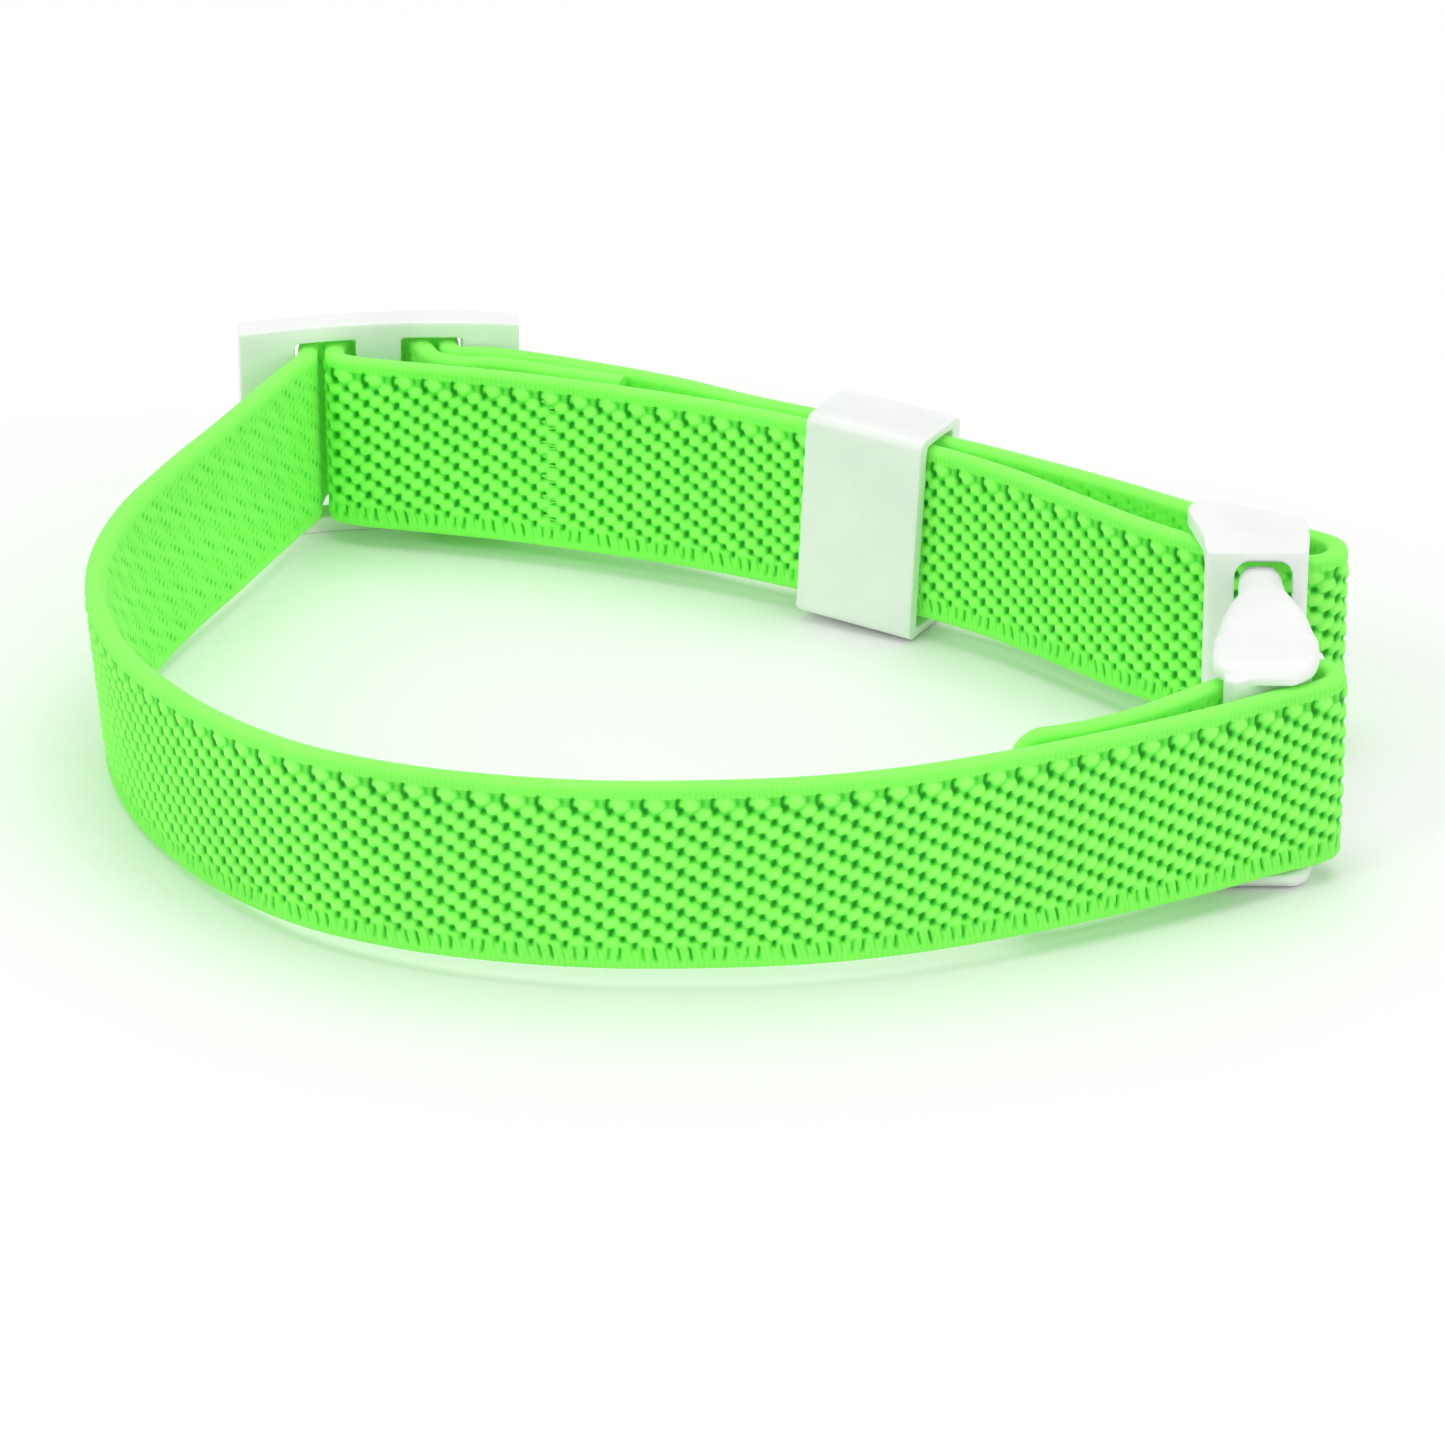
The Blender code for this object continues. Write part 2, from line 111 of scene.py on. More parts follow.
# Hardware
HEIGHT = 12.3
MIDDLE = HEIGHT / 2
RAIL = 0.95
SLIDER_CENTRE = (-19.0, 56.7)
SLIDER_TURN = math.radians(6)
SLIDER_LENGTH = 15.4
SLIDER_BAR = 3.1
SLIDER_MIDDLE_BAR = 2.5
SLIDER_THICK = 1.8
SLIDER_RADIUS = 31.0
RAIL_STEPS = 28
BAR_STEPS = 5
KEEPER_CENTRE = (8.35, 43.62)
KEEPER_TURN = math.radians(-28.5)
KEEPER_LENGTH = 6.9
KEEPER_DEPTH = 4.7
KEEPER_HEIGHT = 11.7
KEEPER_TILT = math.radians(3)
KEEPER_WALL = 0.85
KEEPER_EDGE_WALL = 0.5
KEEPER_CORNERS = (0.6, 0.25)  # outside and inside
PLUG_SIDES = (25.0, 30.3)
PLUG_NEAR_Y = 10.2
PLUG_BLOCK_Y = 14.6
PLUG_FAR_Y = 17.9
PLUG_BAR_TURN = math.radians(32)
PLUG_BAR_CENTRE = (27.05, 11.42)
PLUG_BAR_LENGTH = 5.2
PLUG_BAR_THICK = 1.1
PLUG_STATIONS = 34
PLUG_NEAR_ROUND = 1.3
PLUG_BLOCK_CORNER = 0.7
ARM_TIP_Y = 25.85
ARM_TIP_ROUND = 1.1
ARM_DEEP = 2.6
TONGUE_TIP_Y = 25.7
TONGUE_HALF = 1.1
TONGUE_STATIONS = 12
PLUG_BELL = (  # (plan y, left x, right x) of the plug and its arms seen from above
    (10.2, 24.7, 28.9), (11.2, 24.3, 29.45), (12.5, 24.3, 29.7), (15.0, 24.55, 29.75),
    (17.6, 25.05, 29.5), (19.5, 25.6, 29.1), (21.6, 26.2, 28.75), (25.9, 26.5, 28.6),
)
ARM_TIP_TOP = 11.3
CATCH_SIDES = (24.7, 30.0)
CATCH_MOUTH_Y = 24.5
CATCH_PLATE = 0.85
CATCH_FAR_Y = 31.4
CATCH_SHOULDER = 0.8  # the rails are this much wider to the left at the strap bar
CATCH_NECK = 2.4
CATCH_CORNER = 0.5
CATCH_BULGE = 0.2
CATCH_NEAR_ROUND = 1.1
CATCH_FAR_ROUND = 1.2
MOUTH_X = 27.7
MOUTH_WIDTH = 3.0
MOUTH_EDGE = 0.45
MOUTH_CORNER = 0.9
CATCH_BAR_TURN = math.radians(-24)
CATCH_BAR_END = (29.9, 28.15)
CATCH_BAR_LENGTH = 5.0
CATCH_BAR_THICK = 1.4
CATCH_BAR_TUCK = 0.4  # the bar's end stays inside the rails
VOXEL = 0.075
CUT_OVER = 5.0  # cutting shapes stand out this far beyond the piece
JOIN_OVER = 0.5  # joined shapes reach this far into each other

# Sewing thread
TACK_RADIUS = 0.06
TACK_ROWS = 40
TACK_ROW_STEPS = 8
TACK_HALF = 0.5
TACK_MARGIN = 1.0
TACK_SINK = 0.20
TACK_BULGE = 0.05
TACK_HEADING = 0.4
SLIDER_TACK_FROM_FOLD = 10.5
PLUG_TACK_FROM_TAIL = 6.6


# ---------------------------------------------------------------- plan helpers


def in_metres(points):
    """Plan millimetres to the row frame's metres."""
    shift = np.array([LOOP_CENTRE[0], LOOP_CENTRE[1], 0.0])
    return (np.asarray(points, float) - shift) * MM


def place(point):
    return tuple(in_metres([point])[0])


def turned(x, y, angle, centre):
    return (
        centre[0] + x * math.cos(angle) - y * math.sin(angle),
        centre[1] + x * math.sin(angle) + y * math.cos(angle),
    )


def arc(centre, radius, start, end, steps):
    angles = [math.radians(start + (end - start) * i / steps) for i in range(steps + 1)]
    return [(centre[0] + radius * math.cos(a), centre[1] + radius * math.sin(a)) for a in angles]


def rounded(x0, x1, y0, y1, corner, steps=6):
    return (
        arc((x0 + corner, y0 + corner), corner, 180, 270, steps)
        + arc((x1 - corner, y0 + corner), corner, 270, 360, steps)
        + arc((x1 - corner, y1 - corner), corner, 0, 90, steps)
        + arc((x0 + corner, y1 - corner), corner, 90, 180, steps)
    )


def capsule(length, thick, angle, centre, steps=14):
    reach = (length - thick) / 2
    ends = arc((reach, 0), thick / 2, -90, 90, steps) + arc((-reach, 0), thick / 2, 90, 270, steps)
    return [turned(x, y, angle, centre) for x, y in ends]


def at_slider(along, out):
    return turned(along, out - along * along / (2 * SLIDER_RADIUS), SLIDER_TURN, SLIDER_CENTRE)


# ---------------------------------------------------------------- materials


def new_material(name):
    """A material with its node tree's parts: (material, nodes, links, shader)."""
    made = bpy.data.materials.new(name)
    made.use_nodes = True
    nodes = made.node_tree.nodes
    return made, nodes, made.node_tree.links, nodes["Principled BSDF"]


def ramp(nodes, stops):
    """A colour ramp from (position, colour) stops."""
    made = nodes.new("ShaderNodeValToRGB")
    elements = made.color_ramp.elements
    while len(elements) < len(stops):
        elements.new(0.5)
    for element, (position, colour) in zip(elements, stops):
        element.position = position
        element.color = (*colour, 1)
    return made


def noise(nodes, links, scale, detail=3.0, roughness=0.5):
    """Noise that is even in the row frame, so that pieces match across their seams."""
    where = nodes.new("ShaderNodeTexCoord")
    made = nodes.new("ShaderNodeTexNoise")
    made.inputs["Scale"].default_value = scale
    made.inputs["Detail"].default_value = detail
    made.inputs["Roughness"].default_value = roughness
    links.new(where.outputs["Object"], made.inputs["Vector"])
    return made


def webbing_material():
    """Fluorescent yarn: yellow-green on the floats and the bound edges, and deep green in the hollows as
    painted shade.
    """
    made, nodes, links, shader = new_material("elastic_webbing")
    relief = nodes.new("ShaderNodeAttribute")
    relief.attribute_name = "relief"
    # Painted shade and light: the relief picks the colour, darkest green where the holes and hollows are
    # in shade and lightest on the crests.
    tint = ramp(nodes, [
        (0.0, (0.010, 0.24, 0.005)), (0.25, (0.06, 0.62, 0.03)),
        (0.55, (0.19, 0.90, 0.085)), (1.0, (0.30, 0.98, 0.14)),
    ])
    links.new(relief.outputs["Fac"], tint.inputs["Fac"])
    patch = noise(nodes, links, 140, 2)
    shade = nodes.new("ShaderNodeMath")
    shade.operation = "MULTIPLY_ADD"
    shade.inputs[1].default_value = 0.22
    shade.inputs[2].default_value = 0.89
    links.new(patch.outputs["Fac"], shade.inputs[0])
    vary = nodes.new("ShaderNodeMix")
    vary.data_type = "RGBA"
    vary.blend_type = "MULTIPLY"
    vary.inputs[0].default_value = 1.0
    links.new(tint.outputs["Color"], vary.inputs[6])
    links.new(shade.outputs[0], vary.inputs[7])
    links.new(vary.outputs[2], shader.inputs["Base Color"])
    # Painted glow: the yarn's colour is emitted as well, so the webbing glows without a lamp, standing
    # in for its fluorescence.
    links.new(vary.outputs[2], shader.inputs["Emission Color"])
    shader.inputs["Emission Strength"].default_value = 0.10
    shader.inputs["Roughness"].default_value = 0.72
    shader.inputs["Sheen Weight"].default_value = 0.35
    shader.inputs["Sheen Roughness"].default_value = 0.4
    shader.inputs["Sheen Tint"].default_value = (0.75, 1.0, 0.55, 1)
    shader.inputs["Specular IOR Level"].default_value = 0.3
    bump = nodes.new("ShaderNodeBump")
    bump.inputs["Strength"].default_value = 0.35
    bump.inputs["Distance"].default_value = 0.00008
    fibre = noise(nodes, links, 5200, 4, 0.65)
    links.new(fibre.outputs["Fac"], bump.inputs["Height"])
    links.new(bump.outputs["Normal"], shader.inputs["Normal"])
    return made


def plastic_material():
    """White moulded acetal: a satin skin with a faint orange-peel and a little light inside."""
    made, nodes, links, shader = new_material("moulded_white")
    cloud = noise(nodes, links, 260, 3)
    tint = ramp(nodes, [(0.3, (0.84, 0.86, 0.85)), (0.7, (0.90, 0.915, 0.90))])
    links.new(cloud.outputs["Fac"], tint.inputs["Fac"])
    links.new(tint.outputs["Color"], shader.inputs["Base Color"])
    grain = noise(nodes, links, 1700, 3)
    gloss = nodes.new("ShaderNodeMapRange")
    gloss.inputs["To Min"].default_value = 0.30
    gloss.inputs["To Max"].default_value = 0.44
    links.new(grain.outputs["Fac"], gloss.inputs["Value"])
    links.new(gloss.outputs["Result"], shader.inputs["Roughness"])
    shader.inputs["Subsurface Weight"].default_value = 0.25
    shader.inputs["Subsurface Radius"].default_value = (1.0, 1.0, 0.9)
    shader.inputs["Subsurface Scale"].default_value = 0.0012
    shader.inputs["IOR"].default_value = 1.48
    bump = nodes.new("ShaderNodeBump")
    bump.inputs["Strength"].default_value = 0.12
    bump.inputs["Distance"].default_value = 0.00005
    links.new(grain.outputs["Fac"], bump.inputs["Height"])
    links.new(bump.outputs["Normal"], shader.inputs["Normal"])
    return made


def thread_material():
    """Spun thread in the webbing's colour."""
    made, nodes, links, shader = new_material("sewing_thread")
    lay = noise(nodes, links, 2600, 3)
    tint = ramp(nodes, [(0.3, (0.17, 0.86, 0.07)), (0.75, (0.29, 0.98, 0.13))])
    links.new(lay.outputs["Fac"], tint.inputs["Fac"])
    links.new(tint.outputs["Color"], shader.inputs["Base Color"])
    shader.inputs["Roughness"].default_value = 0.55
    shader.inputs["Sheen Weight"].default_value = 0.3
    bump = nodes.new("ShaderNodeBump")
    bump.inputs["Strength"].default_value = 0.3
    bump.inputs["Distance"].default_value = 0.00006
    links.new(lay.outputs["Fac"], bump.inputs["Height"])
    links.new(bump.outputs["Normal"], shader.inputs["Normal"])
    return made


def floor_material():
    """Plain pale paper."""
    made, nodes, links, shader = new_material("studio_floor")
    tone = noise(nodes, links, 6, 2)
    tint = ramp(nodes, [(0.3, (0.93, 0.935, 0.93)), (0.7, (0.95, 0.955, 0.95))])
    links.new(tone.outputs["Fac"], tint.inputs["Fac"])
    links.new(tint.outputs["Color"], shader.inputs["Base Color"])
    shader.inputs["Roughness"].default_value = 0.6
    shader.inputs["Specular IOR Level"].default_value = 0.2
    return made


# ---------------------------------------------------------------- webbing


def webbing_route():
    """The strip's centreline as (stretch name, plan points), in the CAD model's order."""
    layer = WEB_THICK + SIDE_GAP
    clear = WEB_THICK / 2 + SIDE_GAP
    plug_turn = PLUG_BAR_THICK / 2 + clear
    plug_side = math.degrees(PLUG_BAR_TURN)
    plug_reach = (PLUG_BAR_LENGTH - PLUG_BAR_THICK) / 2
    plug_end = turned(plug_reach, 0, PLUG_BAR_TURN, PLUG_BAR_CENTRE)
    catch_turn = CATCH_BAR_THICK / 2 + clear
    first = SLIDER_THICK / 2 + clear
    second = first + layer
    slot = (SLIDER_LENGTH / 2 - SLIDER_BAR + SLIDER_MIDDLE_BAR / 2) / 2
    outer_bar = (SLIDER_LENGTH - SLIDER_BAR) / 2
    wrap = SLIDER_MIDDLE_BAR / 2 + clear
    turn = SLIDER_THICK / 2 + FOLD_ROOM  # where the fold rounds the middle bar's far corners
    plug_loop = (plug_end[0] + FOLD_LOOSE, plug_end[1])
    catch_loop = (CATCH_BAR_END[0] + FOLD_LOOSE, CATCH_BAR_END[1])
    return [
        ("plug_fold", [
            (13.5, 5.3), (16.5, 5.95), (19.3, 7.25), (21.9, 9.1), (24.2, 11.05),
            *arc(plug_loop, plug_turn, plug_side + 90, plug_side - 90, 7),
        ]),
        ("front_run", [
            (27.7, 10.15), (24.3, 8.1), (18.8, 5.2), (13.8, 2.95), (8.6, 1.1), (3.8, 0.1),
            (-1.1, -0.25), (-6.0, -0.15), (-11.0, 0.7), (-15.8, 2.25), (-20.3, 4.75), (-24.5, 8.8),
        ]),
        ("left_bend", [
            (-27.75, 13.6), (-30.15, 18.6), (-31.55, 23.7), (-31.95, 28.9), (-31.1, 34.5),
        ]),
        ("left_lead", [(-29.0, 40.2), (-26.75, 45.2), (-24.75, 49.9)]),
        ("slider_lacing", [
            (-23.55, 52.75), (-22.8, 54.5), at_slider(-slot - 0.8, 0.3),
            at_slider(-3.2, 1.85), at_slider(-1.75, second - 0.2), at_slider(0, second),
            at_slider(1.75, second - 0.2), at_slider(3.2, 1.85), at_slider(slot + 0.9, 0.3),
            at_slider(slot + 1.05, -1.4),
            at_slider(outer_bar, -first), (-6.7, 52.75), (-2.6, 50.75),
        ]),
        ("outer_layer", [
            (1.25, 48.3), (6.4, 45.5), (11.5, 42.7), (17.2, 38.95), (21.4, 35.9),
        ]),
        ("catch_fold", [
            (24.3, 33.6), (27.6, 31.2),
            *arc(catch_loop, catch_turn, 54, -100, 7),
            (27.2, 27.55), (24.3, 29.3), (21.5, 31.6), (18.4, 34.75), (14.8, 38.35),
            (10.8, 41.47), (5.65, 44.26),
        ]),
        ("slider_fold", [
            (0.5, 47.05), (-6.0, 49.75),
            (-12.2, 51.85), at_slider(4.1, -4.45), at_slider(2.2, -3.95), at_slider(0.4, -3.4),
            at_slider(-1.2, -2.75), at_slider(-wrap - 0.25, -1.9), at_slider(-wrap - 0.35, -0.9),
            at_slider(-wrap, 0.4), at_slider(-wrap + 0.35, turn), at_slider(0, first + 0.05),
            at_slider(wrap - 0.25, turn),
            at_slider(wrap + 0.1, 0.2), at_slider(wrap + 0.4, -0.95), at_slider(2.9, -2.3),
            at_slider(4.0, -2.95), at_slider(outer_bar, -second), (-9.2, 52.5), (-5.4, 50.95),
        ]),
    ]


def smooth_curve(points):
    """A dense smooth curve through unevenly spaced points, CURVE_STEPS to each gap."""
    points = np.array(points, float)
    chords = np.linalg.norm(np.diff(points, axis=0), axis=1)
    slopes = np.diff(points, axis=0) / chords[:, None]
    tangents = np.empty_like(points)
    tangents[0], tangents[-1] = slopes[0], slopes[-1]
    before, after = chords[:-1, None], chords[1:, None]
    tangents[1:-1] = (slopes[:-1] * after + slopes[1:] * before) / (before + after)
    t = (np.arange(CURVE_STEPS) / CURVE_STEPS)[:, None]
    curve = []
    for i, h in enumerate(chords):
        curve.append(
            points[i] * (2 * t**3 - 3 * t**2 + 1) + tangents[i] * h * (t**3 - 2 * t**2 + t)
            + points[i + 1] * (3 * t**2 - 2 * t**3) + tangents[i + 1] * h * (t**3 - t**2)
        )
    curve.append(points[-1:])
    return np.concatenate(curve)


def smooth_step(start, end, x):
    """0 before start, 1 after end, and an even turn between them."""
    t = np.clip((x - start) / (end - start), 0, 1)
    return t * t * (3 - 2 * t)


def pillow(along, up, half_along, half_up, turn=0.0, power=2.6):
    """Height of a rounded pad with a flattened crown, 0 outside it."""
    u = along * math.cos(turn) + up * math.sin(turn)
    v = up * math.cos(turn) - along * math.sin(turn)
    reach = np.sqrt((u / half_along) ** 2 + (v / half_up) ** 2)
    return np.clip(1 - reach**power, 0, None) ** 0.6


def pit(along, up, half_along, half_up, turn=0.0):
    """Depth of a soft oval dent, 1 at its middle."""
    u = along * math.cos(turn) + up * math.sin(turn)
    v = up * math.cos(turn) - along * math.sin(turn)
    return np.exp(-((u / half_along) ** 2) - (v / half_up) ** 2)


def face_relief(s, z):
    """The coarse face: diagonal ridges of short floats with a hole above each float, which the material
    paints dark as painted shade.

    Beads close the ridges along the top and upright loops close them along the bottom. s runs along
    the strip and z across it, in millimetres. The result is 0 in the holes and 1 on the crests."""
    shape = np.broadcast(s, z).shape
    floats, holes = np.zeros(shape), np.zeros(shape)
    nearest = np.round(s / FLOAT)
    drop = RIDGE / 3
    for step in (-1, 0, 1):
        i = nearest + step
        along = s - i * FLOAT
        row = np.round((HOLE_Z + drop * i - z) / RIDGE)
        third = np.mod(-i, 3)
        for near in (-1, 0, 1):
            hole_z = HOLE_Z + drop * i - RIDGE * (row + near)
            float_z = hole_z - RIDGE / 2
            uneven = 1 + 0.05 * np.sin(i * 2.1 + hole_z * 3.7)
            pad = uneven * pillow(along, z - float_z, *FLOAT_HALF, FLOAT_TURN)
            inside = (float_z > BOTTOM_ROW - 0.35) & (float_z < TOP_ROW - 0.15)
            floats = np.maximum(floats, np.where(inside, pad, 0))
            tall = 0.17 + 0.07 * third
            dark = pit(along, z - hole_z, HOLE_HALF, tall, HOLE_TURN)
            seen = (hole_z > BOTTOM_ROW) & (hole_z < TOP_ROW)
            holes = np.maximum(holes, np.where(seen, dark, 0))
    return borders(s, z, np.maximum(floats, VALLEY), holes)


def borders(s, z, height, holes):
    """Beads, ribs and the bound edge above the ridges, and the loops below them."""
    wale = np.round((s - BEAD_PHASE) / WALE)
    fine = 0.5 + 0.5 * np.cos(4 * math.pi * s / FLOAT)
    for step in (-1, 0, 1):
        bead = s - BEAD_PHASE - (wale + step) * WALE
        height = np.maximum(height, 1.1 * pillow(bead, z - BEAD_Z, *BEAD_HALF))
        notch = bead - 0.62 + 0.12 * ((z - 8.95) / 0.4) ** 2
        length = smooth_step(8.35, 8.55, z) * smooth_step(9.45, 9.2, z)
        holes = np.maximum(holes, 0.85 * length * np.exp(-((notch / 0.1) ** 2)))
        small = pit(bead + 0.62, z - 9.05, 0.09, 0.2)
        holes = np.maximum(holes, 0.45 * small)
    ribs = (0.55 + 0.2 * fine) * smooth_step(9.15, 9.35, z)
    height = np.maximum(height, ribs)
    height = np.where(z > 9.4, np.maximum(ribs, smooth_step(9.55, 9.75, z) * 0.9), height)
    loops = smooth_step(BOTTOM_ROW + 0.25, BOTTOM_ROW - 0.1, z)
    tick = 0.7 + 0.14 * np.cos(4 * math.pi * (s + 0.12 * np.sin(3 * z)) / FLOAT)
    height = height * (1 - loops) + tick * loops
    slit = np.mod(s / WALE + 0.12 + 0.035 * np.sin(3.4 * z + s), 1)
    for centre, depth in LOOP_SLITS:
        line = np.exp(-(((slit - centre) * WALE / 0.1) ** 2))
        length = smooth_step(0.35, 0.75, z) * smooth_step(1.45, 1.2, z)
        holes = np.maximum(holes, depth * line * length)
    return np.clip(height - holes * (0.35 + 0.65 * height), 0, 1.1)


def back_relief(s, z):
    """The finer inner face: small shallow holes in steep rows."""
    nearest = np.round(s / BACK_PITCH[0])
    field = 0.78 + 0.1 * np.sin(2 * math.pi * (s / WALE + z / RIDGE))
    for step in (-1, 0, 1):
        i = nearest + step
        shift = BACK_RISE * i
        hole_z = np.round((z - shift) / BACK_PITCH[1]) * BACK_PITCH[1] + shift
        depth = 0.42 + 0.2 * np.sin(i * 1.9 + hole_z * 2.7)
        along = s - i * BACK_PITCH[0]
        field = field - depth * pit(along, z - hole_z, *BACK_HOLE_HALF, BACK_HOLE_TURN)
    edge = smooth_step(0.8, 0.3, z) + smooth_step(WEB_WIDTH - 0.8, WEB_WIDTH - 0.3, z)
    return np.clip(field * (1 - edge) + 0.85 * edge, 0, 1)


def web_section():
    """Points round the cross-section, in order: (side, z, angle round the bound edge)."""
    low, high = EDGE_ROUND, WEB_WIDTH - EDGE_ROUND
    angles = np.linspace(0, math.pi, EDGE_ROWS + 2)[1:-1]
    section = [("face", z, 0.0) for z in np.linspace(low, high, FACE_ROWS)]
    section += [("edge", high, angle) for angle in angles]
    section += [("back", z, 0.0) for z in np.linspace(high, low, BACK_ROWS)]
    section += [("edge", low, angle + math.pi) for angle in angles]
    return section


def strip_at(s, line, run):
    """Plan places and unit normals at distances s along the strip: (x, y, normal x, normal y)."""
    ahead = np.clip(s + HEADING_REACH, run[0], run[-1])
    behind = np.clip(s - HEADING_REACH, run[0], run[-1])
    dx = np.interp(ahead, run, line[:, 0]) - np.interp(behind, run, line[:, 0])
    dy = np.interp(ahead, run, line[:, 1]) - np.interp(behind, run, line[:, 1])
    length = np.hypot(dx, dy)
    x = np.interp(s, run, line[:, 0])
    y = np.interp(s, run, line[:, 1])
    return x, y, -dy / length, dx / length


def weave(name, line, run, start, end, finish):
    """One closed stretch of webbing between two distances along the strip."""
    count = max(8, int((end - start) / RING_STEP) + 1)
    s = np.linspace(start, end, count)
    x, y, normal_x, normal_y = strip_at(s, line, run)
    sag = np.exp(-((x - SAG_CENTRE[0]) ** 2 + (y - SAG_CENTRE[1]) ** 2) / (2 * SAG_REACH**2))
    lift = WEB_LIFT - SAG_DEPTH * sag
    cut = np.clip(1 - (s - TAIL_TRIM) / TAIL_CORNER, 0, 1)
    narrow = 1 - TAIL_CORNER * (1 - np.sqrt(1 - cut**2)) / (WEB_WIDTH / 2)
    rib = 0.5 + 0.5 * np.cos(4 * math.pi * s / FLOAT)
    section = web_section()
    points = np.empty((count, len(section), 3))
    relief = np.empty((count, len(section)))
    for j, (side, z, angle) in enumerate(section):
        if side == "face":
            height = face_relief(s, np.full_like(s, z))
            out, up = WEB_CORE + FACE_DEPTH * height, z
        elif side == "back":
            height = back_relief(s, np.full_like(s, z))
            out, up = -WEB_CORE - BACK_SHIFT - BACK_DEPTH * height, z
        else:
            height = 0.74 + 0.08 * rib
            out = EDGE_HALF * math.cos(angle)
            up = z + EDGE_ROUND * math.sin(angle) * (0.94 + 0.06 * rib)
        up = WEB_WIDTH / 2 + (up - WEB_WIDTH / 2) * narrow
        across = out + SAG_FLARE * sag * (up - WEB_WIDTH / 2)
        points[:, j, 0] = x + normal_x * across
        points[:, j, 1] = y + normal_y * across
        points[:, j, 2] = lift + up
        relief[:, j] = np.clip(height, 0, 1)
    return grid_piece(name, points, relief, finish)


def grid_piece(name, points, relief, finish):
    """A closed tube from rings of points, with the relief kept for the material.

    The end caps have vertices of their own, so that the sides' shading doesn't bend towards them."""
    rings, count = points.shape[:2]
    ring, spot = np.meshgrid(np.arange(rings - 1), np.arange(count), indexing="ij")
    after = (spot + 1) % count
    corners = (
        ring * count + spot, (ring + 1) * count + spot,
        (ring + 1) * count + after, ring * count + after,
    )
    quads = np.stack(corners, axis=-1).reshape(-1, 4)
    total = rings * count
    near_cap = list(range(total, total + count))
    far_cap = list(range(total + 2 * count - 1, total + count - 1, -1))
    places = in_metres(np.concatenate([points.reshape(-1, 3), points[0], points[-1]]))
    values = np.concatenate([relief.ravel(), relief[0], relief[-1]]).astype(np.float32)
    mesh = bpy.data.meshes.new(name)
    mesh.from_pydata(places.tolist(), [], [*quads.tolist(), near_cap, far_cap])
    mesh.attributes.new("relief", "FLOAT", "POINT").data.foreach_set("value", values)
    mesh.materials.append(finish)
    mesh.shade_smooth()
    made = bpy.data.objects.new(name, mesh)
    bpy.context.scene.collection.objects.link(made)
    return made


def make_webbing(finish):
    """Every stretch of the strip, with the outer layer and the catch fold on the band that they follow.

    Returns the strip's centreline, the distance run at each of its points, and where each stretch
    starts."""
    sections = webbing_route()
    line = smooth_curve([point for _, listed in sections for point in listed])
    gaps = np.linalg.norm(np.diff(line, axis=0), axis=1)
    run = np.concatenate([[0], np.cumsum(gaps)])
    names = [name for name, _ in sections]
    starts = {}
    passed = 0
    for name, listed in sections:
        starts[name] = run[passed * CURVE_STEPS]
        passed += len(listed)
    starts[names[0]] = TAIL_TRIM
    ends = dict(zip(names, [starts[name] for name in names[1:]] + [run[-1]]))
    made = {}
    for name in names:
        piece = "webbing_" + name + "_woven"
        made[name] = weave(piece, line, run, starts[name], ends[name], finish)
    for name in ("plug_fold", "front_run", "left_bend"):
        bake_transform(made[name])
    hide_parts("webbing_plug_fold")
    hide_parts("webbing_front_run")
    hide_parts("webbing_left_bend")
    lead = made["left_lead"]
    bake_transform(lead)
    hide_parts("webbing_left_lead")
    lacing = made["slider_lacing"]
    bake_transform(lacing)
    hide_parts("webbing_slider_lacing", "webbing_outer_slack")
    fold = made["slider_fold"]
    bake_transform(fold)
    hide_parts("webbing_slider_fold", "webbing_inner_slack")
    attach(made["outer_layer"], "band")
    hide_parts("webbing_outer_layer")
    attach(made["catch_fold"], "band")
    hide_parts("webbing_catch_fold", "webbing_inner_layer")
    return line, run, starts


# ---------------------------------------------------------------- moulded pieces


def shell(rings):
    """Points and faces of a closed loft, in plan millimetres."""
    count = len(rings[0])
    points = [tuple(p) for ring in rings for p in ring]
    faces = []
    for i in range(len(rings) - 1):
        for j in range(count):
            k = (j + 1) % count
            faces.append((i * count + j, i * count + k, (i + 1) * count + k, (i + 1) * count + j))
    last = (len(rings) - 1) * count
    faces += [tuple(range(count)), tuple(range(last, last + count))]
    return points, faces


def prism(outline, low, high):
    return shell([[(x, y, z) for x, y in outline] for z in (low, high)])


def raw(name, shapes):
    """A mesh object in millimetres from several closed shapes."""
    points, faces = [], []
    for p, f in shapes:
        faces += [tuple(i + len(points) for i in face) for face in f]
        points += p
    mesh = bpy.data.meshes.new(name)
    mesh.from_pydata(points, [], faces)
    tidy = bmesh.new()
    tidy.from_mesh(mesh)
    bmesh.ops.recalc_face_normals(tidy, faces=tidy.faces)
    tidy.to_mesh(mesh)
    tidy.free()
    made = bpy.data.objects.new(name, mesh)
    bpy.context.scene.collection.objects.link(made)
    return made


